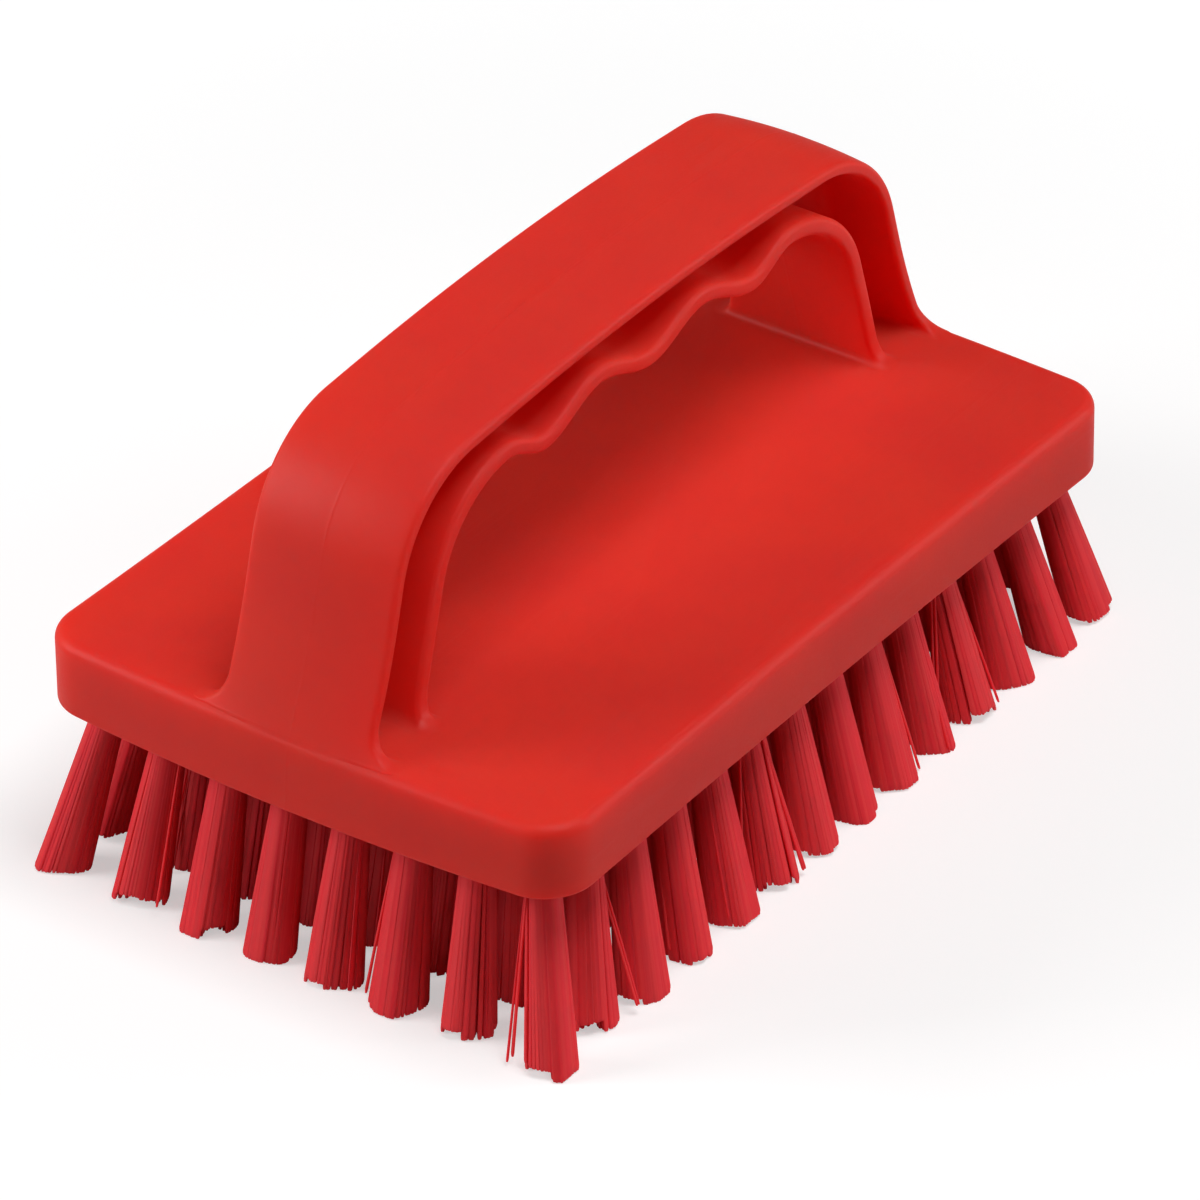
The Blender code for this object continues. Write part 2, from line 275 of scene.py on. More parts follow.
def resample(points, steps):
    """Spread steps + 1 points evenly along a polyline, by its travelled length."""
    lengths = np.linalg.norm(np.diff(points, axis=0), axis=1)
    travel = np.concatenate([[0.0], np.cumsum(lengths)])
    wanted = np.linspace(0.0, travel[-1], steps + 1)
    return np.column_stack([np.interp(wanted, travel, column) for column in points.T])


def parting(offset):
    """Height of the parting line at an offset from the middle plane: height (1 - (2 offset / width)²)."""
    return PARTING_HEIGHT * np.clip(1 - (2 * offset / PARTING_WIDTH) ** 2, 0, 1)


def face_widths(half):
    """Places across a broad face, close together at the parting line in its middle."""
    side = np.linspace(PARTING_WIDTH, half, EDGE_STEPS // 2 + 1)
    ridge = np.linspace(0.0, PARTING_WIDTH / 2, FILLET_STEPS)
    positive = np.concatenate([ridge, side])
    return np.concatenate([-positive[:0:-1], positive])


# The moulding


def block_outline(inset, end_bow):
    """A rounded rectangle whose ends bulge by end_bow (1 - y²) and whose sides draw in by waist (1 - x²),
    with x and y as shares of the half length and the half width."""
    half = np.array([BLOCK_LENGTH, BLOCK_WIDTH]) / 2 - inset
    radius = CORNER_RADIUS - inset
    straight = half - radius
    across = face_widths(straight[1])[1:-1]
    along = np.linspace(-straight[0], straight[0], EDGE_STEPS + 1)[1:-1]
    corners = ((1, 1, 0.0), (-1, 1, QUARTER_TURN), (-1, -1, math.pi), (1, -1, -QUARTER_TURN))
    quarters = [arc(straight * (sx, sy), radius, start, start + QUARTER_TURN, CORNER_STEPS)
                for sx, sy, start in corners]
    edges = [np.column_stack([along[::-1], np.full(len(along), half[1])]),
             np.column_stack([np.full(len(across), -half[0]), across[::-1]]),
             np.column_stack([along, np.full(len(along), -half[1])]),
             np.column_stack([np.full(len(across), half[0]), across])]
    points = np.vstack([part for pair in zip(quarters, edges) for part in pair])
    x, y = (points / half).T
    on_end = np.abs(x) > END_SHARE
    bowed = half[0] * x + x * (end_bow * (1 - y**2) + parting(points[:, 1]) * on_end)
    waisted = half[1] * y - SIDE_WAIST * y * (1 - x**2)
    return np.column_stack([bowed, waisted])


def block_surface():
    """The block as outlines stacked up its height, inset by a quarter circle at its lower and upper edges."""
    low = arc((BOTTOM_EDGE_RADIUS, BOTTOM_EDGE_RADIUS), BOTTOM_EDGE_RADIUS, 1.5 * math.pi, math.pi,
              FILLET_STEPS)
    high = arc((TOP_EDGE_RADIUS, BLOCK_THICKNESS - TOP_EDGE_RADIUS), TOP_EDGE_RADIUS, math.pi, QUARTER_TURN,
               ROUNDING_STEPS)
    rings = []
    for inset, height in np.vstack([low, high]):
        bow = END_BOW_BOTTOM + (END_BOW_TOP - END_BOW_BOTTOM) * height / BLOCK_THICKNESS
        outline = block_outline(inset, bow)
        rings.append(np.column_stack([outline, np.full(len(outline), BLOCK_BOTTOM + height)]))
    return np.array(rings)


def leg_face(span, height):
    """A leaning leg's face at a height: half the span less the height times the tangent of the lean."""
    return span / 2 - height * math.tan(LEG_LEAN)


def arch_height(radius, x):
    """Height of the crown's or the grip's arc: that of its centre + sqrt(radius² - x²)."""
    return CROWN_CENTRE + np.sqrt(radius**2 - x**2)


def shoulder_centre(span, radius, arch_radius):
    """Centre of the arc that touches both a leaning leg's face and the arch: its own radius in from the
    face, and the difference of the two radii from the arch's centre."""
    inward = np.array([-math.cos(LEG_LEAN), -math.sin(LEG_LEAN)])
    upward = np.array([-math.sin(LEG_LEAN), math.cos(LEG_LEAN)])
    start = np.array([span / 2, -CROWN_CENTRE]) + inward * radius
    middle = start @ upward
    travel = -middle + math.sqrt(middle**2 - start @ start + (arch_radius - radius) ** 2)
    return start + upward * travel + np.array([0.0, CROWN_CENTRE])


def shoulder_arc(centre, radius):
    """The shoulder's arc, from where it leaves the leg's face to where it meets the arch."""
    return arc(centre, radius, LEG_LEAN, math.atan2(centre[1] - CROWN_CENTRE, centre[0]), ARC_STEPS)


def grip_height(x, last_hollow):
    """Underside of the grip: a cosine wave with a crest at the middle and at each pitch."""
    beyond = np.clip((x - FINGER_PITCH) / (last_hollow - FINGER_PITCH), 0, 1)
    phase = FULL_TURN * np.minimum(x, FINGER_PITCH) / FINGER_PITCH + math.pi * beyond
    return arch_height(GRIP_RADIUS, x) - FINGER_DEPTH * (1 + np.cos(phase)) / 2


def toe(height):
    """How far a leg's outer face curves out to the block's end: spread (1 - height / reach)², and nothing
    above the reach."""
    return TOE_SPREAD * np.clip(1 - np.maximum(height, 0.0) / TOE_HEIGHT, 0, 1) ** 2


def flare(height, radius):
    """A quarter circle that spreads a foot: radius (1 - sqrt(1 - rise²)), where the rise falls from 1 at the
    block to 0 at the radius."""
    rise = np.clip(1 - np.maximum(height, 0.0) / radius, 0, 1)
    return radius * (1 - np.sqrt(1 - rise**2))


def leg_points(span, shoulder_start):
    """A leg's face from the foot up to the shoulder, at heights radius (1 - cos angle) in the fillets and at
    even steps above them."""
    angles = np.linspace(0, QUARTER_TURN, FLARE_STEPS + 1)
    fillet = FOOT_FILLET * (1 - np.cos(angles[::FILLET_STRIDE]))
    spread = FLARE_RADIUS * (1 - np.cos(angles))
    near = np.sort(np.concatenate([fillet, spread[spread > FOOT_FILLET]])) - SINK
    above = np.linspace(FLARE_RADIUS, shoulder_start, LEG_STEPS)[1:-1]
    heights = np.concatenate([[-FOOT_DEPTH], near, above])
    return np.column_stack([leg_face(span, heights), heights])


def handle_paths():
    """Matching points of the handle's outer face and of the opening's edge, from foot to foot."""
    outer_centre = shoulder_centre(LEG_SPAN, SHOULDER_RADIUS, CROWN_RADIUS)
    gap_centre = shoulder_centre(GAP_SPAN, GAP_SHOULDER_RADIUS, GRIP_RADIUS)
    outer_arc = shoulder_arc(outer_centre, SHOULDER_RADIUS)
    gap_arc = shoulder_arc(gap_centre, GAP_SHOULDER_RADIUS)
    last_hollow = gap_arc[-1, 0]
    crown_x = np.linspace(outer_arc[-1, 0], last_hollow, ARC_STEPS)[1:]
    crown_end = np.column_stack([crown_x, arch_height(CROWN_RADIUS, crown_x)])
    outer_turn = resample(np.vstack([outer_arc, crown_end]), SHOULDER_STEPS)
    gap_turn = resample(gap_arc, SHOULDER_STEPS)
    extremes = [last_hollow, FINGER_PITCH, FINGER_PITCH / 2, 0.0]
    x = np.concatenate([np.linspace(a, b, FINGER_STEPS + 1)[1:] for a, b in zip(extremes, extremes[1:])])
    outer_top = np.column_stack([x, arch_height(CROWN_RADIUS, x)])
    gap_top = np.column_stack([x, grip_height(x, last_hollow)])
    outer = np.vstack([leg_points(LEG_SPAN, outer_arc[0, 1]), outer_turn, outer_top])
    gap = np.vstack([leg_points(GAP_SPAN, gap_arc[0, 1]), gap_turn, gap_top])
    outer[:, 0] += toe(outer[:, 1])
    mirror = np.array([-1, 1])
    return [np.vstack([path, (path * mirror)[-2::-1]]) for path in (outer, gap)]


def strap_edge(start, end):
    """The rounded edge of a strap: a quarter circle at each of its corners."""
    radius = STRAP_EDGE_RADIUS
    side = HANDLE_WIDTH / 2 - radius
    half = STRAP_EDGE_STEPS // 2
    return np.vstack([arc((start + radius, side), radius, math.pi, QUARTER_TURN, half),
                      arc((end - radius, side), radius, QUARTER_TURN, 0.0, half)])


def handle_section(depth):
    """H section: its points as (way in from the outer face, distance from the middle plane), each point's
    share of the flare, and how far it stands proud for the parting line and the crown of the face."""
    half = HANDLE_WIDTH / 2
    hollow_y = WEB_THICKNESS / 2 + WEB_FILLET
    outer = strap_edge(0.0, OUTER_STRAP)
    inner = strap_edge(depth - INNER_STRAP, depth)
    hollow = np.vstack([
        arc((OUTER_STRAP + WEB_FILLET, hollow_y), WEB_FILLET, math.pi, 1.5 * math.pi, FILLET_STEPS),
        arc((depth - INNER_STRAP - WEB_FILLET, hollow_y), WEB_FILLET, 1.5 * math.pi, FULL_TURN, FILLET_STEPS),
    ])
    side = np.vstack([outer, hollow, inner])
    share = np.concatenate([np.ones(len(outer)), np.zeros(len(hollow)), np.full(len(inner), INNER_FLARE)])
    across = face_widths(half - STRAP_EDGE_RADIUS)[1:-1]
    outer_face = np.column_stack([np.zeros(len(across)), across])
    inner_face = np.column_stack([np.full(len(across), depth), across])
    points = np.vstack([side, inner_face[::-1], side[::-1] * (1, -1), outer_face])
    shares = np.concatenate([share, INNER_FLARE * across[::-1] / half, -share[::-1], across / half])
    ridge = np.concatenate([0 * share, parting(across), 0 * share, parting(across)])
    lowered = PARTING_HEIGHT + FACE_CROWN * (points[:, 1] / half) ** 2
    ridge -= lowered * np.clip(1 - points[:, 0] / OUTER_STRAP, 0, 1)
    return points, shares, ridge


def outward(ring):
    """Unit normals of a closed plane outline: each point's neighbours' chord, turned a quarter."""
    chord = np.roll(ring, -1, axis=0) - np.roll(ring, 1, axis=0)
    normal = np.column_stack([-chord[:, 1], chord[:, 0]])
    return normal / np.maximum(np.linalg.norm(normal, axis=1), SMALLEST)[:, None]


def handle_surface():
    """The H section carried along the arch, spread where it runs out onto the block."""
    rings = []
    for start, end in zip(*handle_paths()):
        depth = np.linalg.norm(end - start)
        ring, share, ridge = handle_section(depth)
        height = np.interp(ring[:, 0], [0, depth], [start[1], end[1]])
        fillet = flare(height, FOOT_FILLET) * np.clip(ring[:, 0] / OUTER_STRAP, 0, 1)
        ring = ring + outward(ring) * fillet[:, None]
        ring[:, 0] -= ridge * np.where(ring[:, 0] < depth / 2, 1, -1)
        place = start + (end - start) * (ring[:, :1] / depth)
        y = ring[:, 1] + share * flare(height, FLARE_RADIUS)
        rings.append(np.column_stack([place[:, 0], y, BLOCK_TOP + place[:, 1]]))
    return np.array(rings)


def row_x(row):
    """Where a row is along the brush: its number, counted from the middle, times the pitch."""
    return (row - (ROWS - 1) / 2) * ROW_PITCH


def tuft_y(tuft):
    """Where a tuft is across the brush: its number, counted from the middle, times the pitch."""
    return (tuft - (TUFTS_PER_ROW - 1) / 2) * TUFT_PITCH


def hole_surface():
    """Plugs for the drilled holes: circles stacked up each hole's depth, wider at its chamfered mouth."""
    centres = np.array([(row_x(row), tuft_y(tuft)) for row in range(ROWS) for tuft in range(TUFTS_PER_ROW)])
    mouth = HOLE_RADIUS + HOLE_CHAMFER
    profile = np.array([(mouth, -HOLE_CHAMFER), (mouth, 0.0), (HOLE_RADIUS, HOLE_CHAMFER),
                        (HOLE_RADIUS, HOLE_DEPTH)])
    circle = turned(np.linspace(0, FULL_TURN, HOLE_STEPS, endpoint=False))
    points = np.empty((len(centres), len(profile), HOLE_STEPS, 3))
    points[..., :2] = centres[:, None, None] + profile[:, :1, None] * circle
    points[..., 2] = BLOCK_BOTTOM + profile[:, 1, None]
    return points


def merged(target, other, operation):
    """Join or cut a closed mesh with another one, and drop the other."""
    modifier = target.modifiers.new(operation, "BOOLEAN")
    modifier.operation = operation
    modifier.object = other
    modifier.solver = "EXACT"
    graph = bpy.context.evaluated_depsgraph_get()
    mesh = bpy.data.meshes.new_from_object(target.evaluated_get(graph))
    target.modifiers.clear()
    old = target.data
    target.data = mesh
    bpy.data.meshes.remove(old)
    bpy.data.objects.remove(other, do_unlink=True)


def add_moulding():
    """Block and handle in one, with the tuft holes cut from below. Level faces are shaded flat."""
    block = block_surface()
    handle = handle_surface()
    made = add_mesh("moulding", block.reshape(-1, 3), tube_faces(1, *block.shape[:2]))
    arch = add_mesh("arch", handle.reshape(-1, 3), tube_faces(1, *handle.shape[:2]))
    merged(made, arch, "UNION")
    plugs = hole_surface()
    holes = add_mesh("holes", plugs.reshape(-1, 3), tube_faces(*plugs.shape[:3]))
    merged(made, holes, "DIFFERENCE")
    mesh = made.data
    normals = np.empty(len(mesh.polygons) * 3)
    mesh.polygons.foreach_get("normal", normals)
    level = np.abs(normals.reshape(-1, 3)[:, 2]) > LEVEL
    mesh.polygons.foreach_set("use_smooth", ~level)
    mesh.set_sharp_from_angle(angle=CREASE_ANGLE)
    mesh.materials.clear()
    return made


# The bristles


def splayed(places):
    """Where tufts' tips are: the outer tufts lean outwards, by a power of how far out they are."""
    share = places / np.array([row_x(ROWS - 1), tuft_y(TUFTS_PER_ROW - 1)])
    lean = np.abs(share) ** np.array([END_SPLAY_POWER, SIDE_SPLAY_POWER])
    return places + np.sign(share) * lean * np.array([END_SPLAY, SIDE_SPLAY])


def packed(count_by_ring):
    """Places in a round bundle as shares of its radius and angles: rings of evenly turned filaments round a
    middle one."""
    rings = len(count_by_ring) - 1
    radial = np.concatenate([np.full(count, ring / rings) for ring, count in enumerate(count_by_ring)])
    angle = np.concatenate([np.arange(count) * FULL_TURN / count for count in count_by_ring])
    return radial, angle


def turned(angle):
    """Unit vectors at angles: (cos angle, sin angle)."""
    return np.stack([np.cos(angle), np.sin(angle)], axis=-1)


def lobed(angle, rng):
    """Angles gathered in lobes, by angle + gather sin(lobes angle + phase) / lobes, and for each filament how
    far out its lobe reaches and how much shorter it is."""
    lobes = rng.integers(*LOBES, PER_TUFT)
    phase = rng.uniform(0, FULL_TURN, PER_TUFT)
    gather = LOBE_GATHER * rng.uniform(*LOBE_GATHER_SHARE, PER_TUFT)
    gathered = angle + gather * np.sin(lobes * angle + phase) / lobes
    lobe = np.floor((lobes * angle + phase) / FULL_TURN + 0.5).astype(int) % lobes
    reaches = rng.normal(1.0, LOBE_REACH_SPREAD, (TUFTS_PER_ROW, LOBES[1]))
    steps = rng.uniform(0, 1, (TUFTS_PER_ROW, LOBES[1])) ** LOBE_STEP_POWER * LOBE_STEP
    return gathered, np.take_along_axis(reaches, lobe, axis=1), np.take_along_axis(steps, lobe, axis=1)


def fanned(angle, rng):
    """Tips of a bundle as shares of its radius: a rounded square, drawn out along the fan and narrowed across
    it. Its radius at an angle is (|cos|ᵖ + |sin|ᵖ)^(-1/p)."""
    fan = FAN_TURN + rng.normal(0, FAN_TURN_SPREAD, PER_TUFT)
    local = turned(angle - fan)
    square = (np.abs(local) ** FAN_SQUARENESS).sum(axis=-1, keepdims=True) ** (-1 / FAN_SQUARENESS)
    width = rng.uniform(*FAN_WIDTH, PER_TUFT)
    along = FAN_LENGTH * local[..., :1] * square
    across = width[..., None] * local[..., 1:] * square
    return along * turned(fan) + across * turned(fan + QUARTER_TURN)


def tuft_tips(centres, radial, angle, rng):
    """Where filaments end, at what level, and which way they fan out: places in lobes of the fan, farther out
    than at the root."""
    gathered, lobe_reach, lobe_short = lobed(angle, rng)
    tuft_reach = rng.uniform(*TUFT_REACH, PER_TUFT)
    reach = radial * lobe_reach * tuft_reach + rng.normal(0, REACH_UNEVENNESS, radial.shape)
    reach = np.clip(reach, 0, MOST_REACH) * (TUFT_TIP_RADIUS - TIP_GIRTH)
    way = fanned(gathered, rng)
    offset = rng.normal(0, TUFT_OFFSET, (TUFTS_PER_ROW, 1, 2))
    tip = splayed(centres)[:, None] + offset + way * reach[..., None]
    tuft_level = rng.uniform(0, TUFT_UNEVENNESS, PER_TUFT)
    level = tuft_level + lobe_short + rng.uniform(0, FILAMENT_UNEVENNESS, radial.shape)
    return tip, level, way


def with_strays(tip, level, radial, way, rng):
    """Move some tips along their way and aside, and end them higher. Outer filaments stray more often."""
    stray = rng.uniform(0, 1, radial.shape) < STRAY_SHARE * radial
    along = rng.uniform(*STRAY_ALONG, radial.shape)
    aside = rng.normal(0, STRAY_ASIDE, (*radial.shape, 2))
    tip = tip + stray[..., None] * (way * along[..., None] + aside) * STRAY_REACH
    level = level + stray * rng.uniform(0, STRAY_REACH, radial.shape)
    return tip, level, stray


def with_runaways(tip, radial, angle, rng):
    """In some tufts, move the tips of a few neighbours in the outer ring aside and a little outwards."""
    leaving = rng.uniform(0, FULL_TURN, PER_TUFT)
    apart = np.abs((angle - leaving + math.pi) % FULL_TURN - math.pi)
    runaway = (apart < RUNAWAY_ARC) & (radial == 1) & (rng.uniform(0, 1, PER_TUFT) < RUNAWAY_SHARE)
    reach = rng.uniform(*RUNAWAY_REACH, PER_TUFT) * rng.choice([-1, 1], PER_TUFT)
    aside = turned(leaving + QUARTER_TURN) * reach[..., None] + turned(leaving) * RUNAWAY_OUTWARD
    return tip + runaway[..., None] * aside, runaway


def filament_rings(root, tip, level, alone, rng):
    """Tubes as [tuft, filament, station, side]: a straight line from root to tip with a sine bow, and circles
    round it that widen below the block. The sides' ways round the line come second."""
    bow = rng.normal(0, FILAMENT_BOW, tip.shape)
    top = BLOCK_BOTTOM + HOLE_DEPTH * FOLD_DEPTH
    z = top + (level[..., None] - top) * FILAMENT_STATIONS
    share = (BLOCK_BOTTOM - z) / BLOCK_BOTTOM
    below = np.clip(share, 0, 1)
    line = root[:, :, None] + (tip - root)[:, :, None] * share[..., None]
    line = line + bow[:, :, None] * np.sin(math.pi * below)[..., None]
    girth = (ROOT_GIRTH + (TIP_GIRTH - ROOT_GIRTH) * below) * FILAMENT_TAPER
    girth = girth * np.where(alone, STRAY_GIRTH, 1.0)[..., None]
    sides = np.linspace(0, -FULL_TURN, FILAMENT_SIDES, endpoint=False)
    ring = turned(sides + rng.uniform(0, 1, (*level.shape, 1)))
    points = np.empty((*z.shape, FILAMENT_SIDES, 3))
    points[..., :2] = line[..., None, :] + ring[:, :, None] * girth[..., None, None]
    points[..., 2] = z[..., None]
    return points, ring


def bundle_ways(ring, way, radial, alone):
    """The way that each point is shaded along: its own round the filament, turned towards the tuft's way out
    where it faces out. The middle filament and those alone keep their own."""
    out = (way / np.maximum(np.linalg.norm(way, axis=-1, keepdims=True), SMALLEST))[:, :, None]
    facing = np.clip((ring * out).sum(axis=-1, keepdims=True) + BUNDLE_BACK, 0, 1)
    facing = facing * (BUNDLE_SHADING * (radial > 0) * ~alone)[..., None, None]
    shaded = ring * (1 - facing) + out * facing
    shaded = shaded / np.linalg.norm(shaded, axis=-1, keepdims=True)
    return np.repeat(shaded[:, :, None], len(FILAMENT_STATIONS), axis=2).reshape(-1, 2)


def shade_as_bundle(mesh, ways, caps):
    """Give the walls normals along their points' ways, tilted up a little, and leave the caps, which are the
    last faces, flat."""
    smooth = np.ones(len(mesh.polygons), dtype=bool)
    smooth[-caps:] = False
    mesh.polygons.foreach_set("use_smooth", smooth)
    corner = np.empty(len(mesh.loops), dtype=np.int32)
    mesh.loops.foreach_get("vertex_index", corner)
    rise = np.full(len(ways), math.sin(BUNDLE_TILT))
    normals = np.column_stack([ways * math.cos(BUNDLE_TILT), rise])[corner]
    normals[-caps * FILAMENT_SIDES:] = 0.0
    mesh.normals_split_custom_set(normals.tolist())


def add_bristles(row, rng):
    """The tufts of a row as one mesh. Each filament runs from a place in its hole to a place in the wider,
    flatter fan of tips."""
    centres = np.array([(row_x(row), tuft_y(tuft)) for tuft in range(TUFTS_PER_ROW)])
    shape = (TUFTS_PER_ROW, sum(BUNDLE))
    radial, angle = (np.broadcast_to(part, shape) for part in packed(BUNDLE))
    angle = angle + rng.uniform(0, FULL_TURN, PER_TUFT) + rng.normal(0, ANGLE_UNEVENNESS, shape)
    root = centres[:, None] + turned(angle) * (radial * (TUFT_ROOT_RADIUS - ROOT_GIRTH))[..., None]
    tip, level, way = tuft_tips(centres, radial, angle, rng)
    tip, level, stray = with_strays(tip, level, radial, way, rng)
    tip, runaway = with_runaways(tip, radial, angle, rng)
    low, high = (np.array(corner[:2]) for corner in cad_box)
    tip = np.clip(tip, low + TIP_GIRTH, high - TIP_GIRTH)

    alone = stray | runaway
    points, ring = filament_rings(root, tip, level, alone, rng)
    tone = np.repeat(rng.uniform(0, 1, shape).ravel(), len(FILAMENT_STATIONS) * FILAMENT_SIDES)
    faces = tube_faces(alone.size, len(FILAMENT_STATIONS), FILAMENT_SIDES)
    made = add_mesh(f"bristles_{row + 1:02d}", points.reshape(-1, 3), faces, {"tone": tone})
    shade_as_bundle(made.data, bundle_ways(ring, way, radial, alone), 2 * alone.size)
    return made


# Materials


def new_group(name, inputs, outputs):
    """A shader node group, from its inputs as name: (kind, value) and its outputs as name: kind."""
    group = bpy.data.node_groups.new(name, "ShaderNodeTree")
    for label, (kind, value) in inputs.items():
        socket = group.interface.new_socket(label, in_out="INPUT", socket_type="NodeSocket" + kind)
        socket.default_value = value
    for label, kind in outputs.items():
        group.interface.new_socket(label, in_out="OUTPUT", socket_type="NodeSocket" + kind)
    return group, group.nodes.new("NodeGroupInput"), group.nodes.new("NodeGroupOutput")


def add_node(tree, kind, inputs=None, **settings):
    """A node with its settings, and with values or links on its named inputs."""
    node = tree.nodes.new("ShaderNode" + kind)
    for label, value in settings.items():
        setattr(node, label, value)
    for label, value in (inputs or {}).items():
        if isinstance(value, bpy.types.NodeSocket):
            tree.links.new(value, node.inputs[label])
        else:
            node.inputs[label].default_value = value
    return node


def add_math(tree, operation, first, second):
    """The result of a Math node on two values or sockets."""
    return add_node(tree, "Math", {0: first, 1: second}, operation=operation).outputs["Value"]


def tone_group():
    """Slow changes of tone in moulded plastic: noise in a few octaves mixes a base and a shade."""
    group, given, result = new_group(
        "plastic_tone",
        {"Base": ("Color", (1, 0, 0, 1)), "Shade": ("Color", (0.5, 0, 0, 1)), "Size": ("Float", 30.0)},
        {"Colour": "Color"},
    )
    place = add_node(group, "TexCoord").outputs["Object"]
    slow = add_node(group, "TexNoise", {"Vector": place, "Scale": given.outputs["Size"], "Detail": 3.0,
                                        "Roughness": 0.55})
    spread = add_node(group, "MapRange", {"Value": slow.outputs["Fac"], "From Min": 0.35, "From Max": 0.65})
    mixed = add_node(group, "Mix", {"Factor": spread.outputs["Result"], 6: given.outputs["Base"],
                                    7: given.outputs["Shade"]}, data_type="RGBA")
    group.links.new(mixed.outputs[2], result.inputs["Colour"])
    return group


def grain_group():
    """The satin skin of moulded plastic: fine noise, less the scratch depth where drawn-out noise is at its
    highest, which leaves sparse hairline scratches."""
    group, given, result = new_group(
        "satin_grain",
        {"Grain Size": ("Float", 2500.0), "Scratch Depth": ("Float", 0.5)},
        {"Height": "Float"},
    )
    place = add_node(group, "TexCoord").outputs["Object"]
    grain = add_node(group, "TexNoise", {"Vector": place, "Scale": given.outputs["Grain Size"],
                                         "Detail": 2.0})
    height = grain.outputs["Fac"]
    for turn, stretch in SCRATCHES:
        drawn_out = add_node(group, "Mapping", {"Vector": place, "Rotation": turn, "Scale": stretch})
        lines = add_node(group, "TexNoise", {"Vector": drawn_out.outputs["Vector"], "Scale": 1.0,
                                             "Detail": 1.0})
        thin = add_node(group, "MapRange", {"Value": lines.outputs["Fac"], "From Min": 0.70,
                                            "From Max": 0.76}).outputs["Result"]
        cut = add_math(group, "MULTIPLY", thin, given.outputs["Scratch Depth"])
        height = add_math(group, "SUBTRACT", height, cut)
    group.links.new(height, result.inputs["Height"])
    return group


def new_material(name):
    """A material, its node tree and the Principled shader in it."""
    material = bpy.data.materials.new(name)
    material.use_nodes = True
    tree = material.node_tree
    return material, tree, tree.nodes["Principled BSDF"]


def moulded_plastic(tone, grain):
    """Satin plastic that light enters and scatters in, with slow changes of tone and a fine grain."""
    material, tree, shader = new_material("satin_moulded_plastic")
    colour = tree.nodes.new("ShaderNodeGroup")
    colour.node_tree = tone
    colour.inputs["Base"].default_value = PLASTIC_RED
    colour.inputs["Shade"].default_value = PLASTIC_SHADE
    colour.inputs["Size"].default_value = 38.0
    skin = tree.nodes.new("ShaderNodeGroup")
    skin.node_tree = grain
    height = skin.outputs["Height"]
    rough = add_node(tree, "MapRange", {"Value": height, "From Min": 0.2, "From Max": 0.8,
                                        "To Min": 0.42, "To Max": 0.54})
    bump = add_node(tree, "Bump", {"Height": height, "Strength": 0.25, "Distance": 0.04 * MM})
    shader.inputs["Specular IOR Level"].default_value = PLASTIC_SPECULAR
    shader.inputs["Subsurface Weight"].default_value = 1.0
    shader.inputs["Subsurface Radius"].default_value = SCATTER_RADIUS
    shader.inputs["Subsurface Scale"].default_value = SCATTER_SCALE
    tree.links.new(colour.outputs["Colour"], shader.inputs["Base Color"])
    tree.links.new(rough.outputs["Result"], shader.inputs["Roughness"])
    tree.links.new(bump.outputs["Normal"], shader.inputs["Normal"])
    return material


def bristle_plastic():
    """Each filament has its own tone and fine streaks along it, and lets light through."""
    material, tree, shader = new_material("bristle_filament")
    tone = add_node(tree, "Attribute", attribute_name="tone")
    mixed = add_node(tree, "Mix", {"Factor": tone.outputs["Fac"], 6: BRISTLE_RED, 7: BRISTLE_SHADE},
                     data_type="RGBA")
    place = add_node(tree, "TexCoord").outputs["Object"]
    long = add_node(tree, "Mapping", {"Vector": place, "Scale": (2200.0, 2200.0, 60.0)})
    streak = add_node(tree, "TexNoise", {"Vector": long.outputs["Vector"], "Scale": 1.0, "Detail": 2.0})
    rough = add_node(tree, "MapRange", {"Value": streak.outputs["Fac"], "To Min": 0.40, "To Max": 0.62})
    bump = add_node(tree, "Bump", {"Height": streak.outputs["Fac"], "Strength": 0.2, "Distance": 0.03 * MM})
    shader.inputs["Specular IOR Level"].default_value = BRISTLE_SPECULAR
    tree.links.new(mixed.outputs[2], shader.inputs["Base Color"])
    tree.links.new(rough.outputs["Result"], shader.inputs["Roughness"])
    tree.links.new(bump.outputs["Normal"], shader.inputs["Normal"])
    through = add_node(tree, "BsdfTranslucent", {"Color": THROUGH_RED})
    both = add_node(tree, "MixShader", {"Fac": THROUGH_SHARE, 1: shader.outputs["BSDF"],
                                        2: through.outputs["BSDF"]})
    tree.links.new(both.outputs["Shader"], tree.nodes["Material Output"].inputs["Surface"])
    return material


# Stage


def add_floor():
    """A level sheet under the bristle tips. To the camera it has its own white, more of it farther out."""
    corners = np.array([(-1, -1, 0), (1, -1, 0), (1, 1, 0), (-1, 1, 0)]) * FLOOR_HALF
    floor = add_mesh("floor", corners, [(0, 1, 2, 3)])
    material, tree, shader = new_material("floor_paper")
    shader.inputs["Roughness"].default_value = 0.9
    seen = add_node(tree, "LightPath").outputs["Is Camera Ray"]
    pale = add_node(tree, "MapRange", {"Value": seen, "To Min": FLOOR_TO_LIGHT, "To Max": FLOOR_TO_CAMERA})
    tree.links.new(pale.outputs["Result"], shader.inputs["Base Color"])
    place = add_node(tree, "TexCoord").outputs["Object"]
    distance = add_node(tree, "VectorMath", {0: place}, operation="LENGTH")
    white = add_node(tree, "MapRange", {"Value": distance.outputs["Value"],
                                        "From Min": GLOW_DISTANCE[0], "From Max": GLOW_DISTANCE[1],
                                        "To Min": GLOW[0], "To Max": GLOW[1]},
                     interpolation_type="SMOOTHSTEP")
    lift = add_math(tree, "MULTIPLY", seen, white.outputs["Result"])
    glow = add_node(tree, "Emission", {"Color": (1, 1, 1, 1), "Strength": lift})
    both = add_node(tree, "AddShader", {0: shader.outputs["BSDF"], 1: glow.outputs["Emission"]})
    tree.links.new(both.outputs["Shader"], tree.nodes["Material Output"].inputs["Surface"])
    floor.data.materials.append(material)


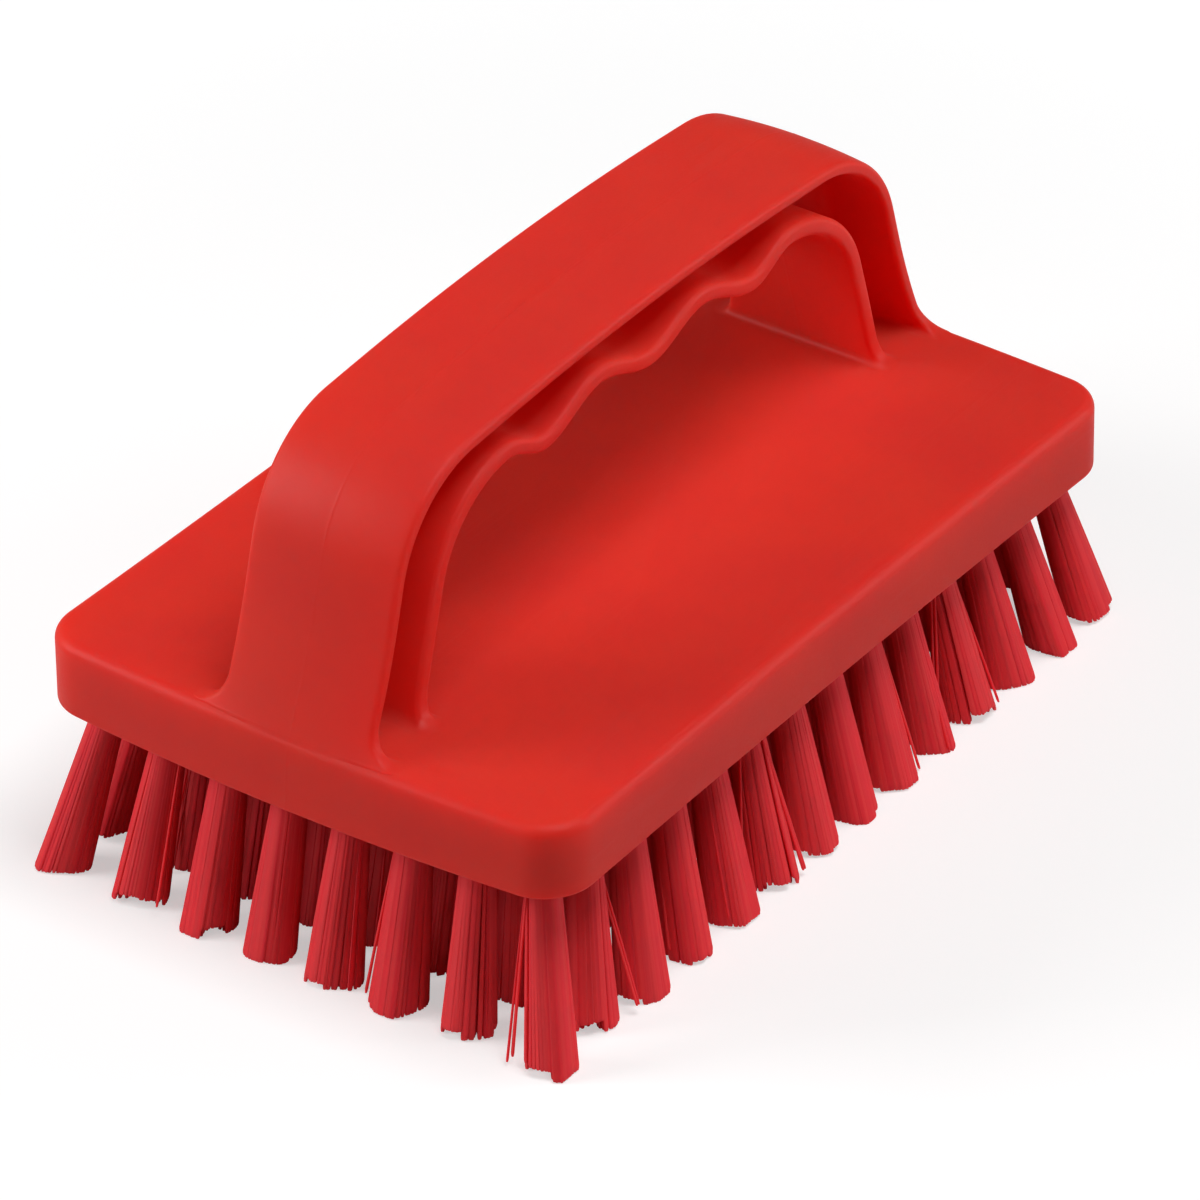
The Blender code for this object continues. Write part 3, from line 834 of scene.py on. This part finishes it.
def light_world():
    """An even white surrounding: full white to the camera and through glass, softer as light."""
    world = bpy.data.worlds.new("studio")
    bpy.context.scene.world = world
    world.use_nodes = True
    tree = world.node_tree
    background = tree.nodes["Background"]
    background.inputs["Color"].default_value = (1, 1, 1, 1)
    ray = add_node(tree, "LightPath")
    seen = add_math(tree, "MAXIMUM", ray.outputs["Is Camera Ray"], ray.outputs["Is Transmission Ray"])
    level = add_node(tree, "MapRange", {"Value": seen, "To Min": WORLD_LIGHT, "To Max": 1.0})
    tree.links.new(level.outputs["Result"], background.inputs["Strength"])


def add_softbox(name, place, size, watts):
    """A square area lamp that faces the middle of the brush."""
    lamp = bpy.data.lights.new(name, "AREA")
    lamp.size = size
    lamp.energy = watts
    holder = bpy.data.objects.new(name, lamp)
    bpy.context.scene.collection.objects.link(holder)
    holder.location = place
    holder.rotation_euler = (Vector(LIT_POINT) - Vector(place)).to_track_quat("-Z", "Y").to_euler()


def add_camera():
    """A long lens at the fitted place, rolled a little about its own axis."""
    lens = bpy.data.cameras.new("camera")
    lens.sensor_width = SENSOR_WIDTH
    lens.lens = SENSOR_WIDTH * FOCAL_PIXELS / FRAME_PIXELS
    holder = bpy.data.objects.new("camera", lens)
    bpy.context.scene.collection.objects.link(holder)
    level = math.cos(CAMERA_ELEVATION)
    back = Vector((math.sin(CAMERA_AZIMUTH) * level, -math.cos(CAMERA_AZIMUTH) * level,
                   math.sin(CAMERA_ELEVATION)))
    turn = (-back).to_track_quat("-Z", "Y").to_matrix() @ Matrix.Rotation(CAMERA_ROLL, 3, "Z")
    place = Vector(CAMERA_TARGET) + back * CAMERA_DISTANCE
    holder.matrix_world = Matrix.Translation(place) @ turn.to_4x4()
    bpy.context.scene.camera = holder


def main():
    """The moulding, the rows of bristles, and the stage that they are seen on."""
    rng = np.random.default_rng(SEED)
    moulding = add_moulding()
    moulding.data.materials.append(moulded_plastic(tone_group(), grain_group()))
    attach(moulding, "root")
    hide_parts("brush_body")
    filament = bristle_plastic()
    for row in range(ROWS):
        bristles = add_bristles(row, rng)
        bristles.data.materials.append(filament)
        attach(bristles, "root")
        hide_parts(f"bristle_row_{row + 1:02d}")

    add_floor()
    light_world()
    for name, (place, size, watts) in SOFTBOXES.items():
        add_softbox(name, place, size, watts)
    add_camera()
    bpy.context.scene.view_settings.view_transform = "Standard"


main()
